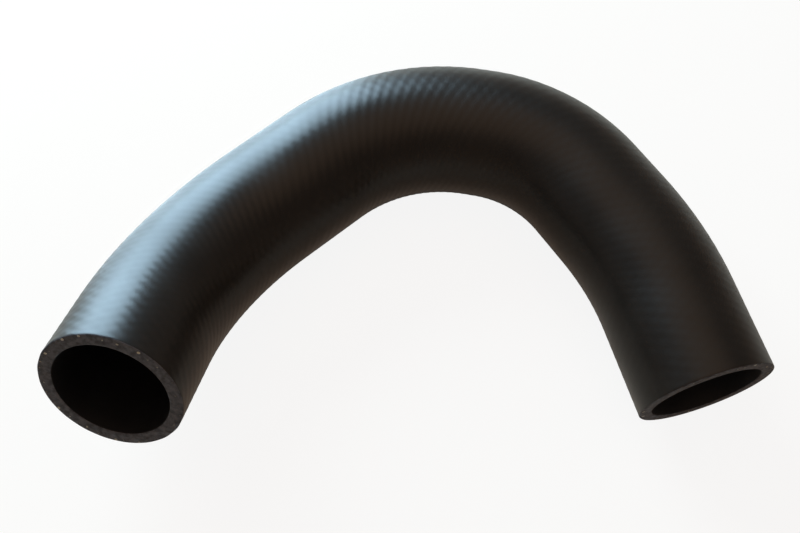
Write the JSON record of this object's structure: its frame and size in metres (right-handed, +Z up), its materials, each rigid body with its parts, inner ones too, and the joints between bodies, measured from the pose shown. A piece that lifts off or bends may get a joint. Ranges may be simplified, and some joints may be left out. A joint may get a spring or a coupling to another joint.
{
  "type": "charge air hose",
  "caption": "U-shaped moulded rubber air hose with a thick wall, open at both ends, with one end rising out of the plane of its bends.",
  "frame": {"origin": "on the floor under the middle of the bounding box, with the hose lying as it comes to rest", "axes": "+X to the right along the longest extent, +Y away from both mouths towards the crown, +Z up"},
  "size_m": [0.3116, 0.1916, 0.0949],
  "materials": {
    "rubber": "satin black rubber over a knitted yarn, whose stitches show as a fine lattice of low bumps"
  },
  "bodies": {
    "root": {"hose": "rubber"}
  },
  "joints": []
}
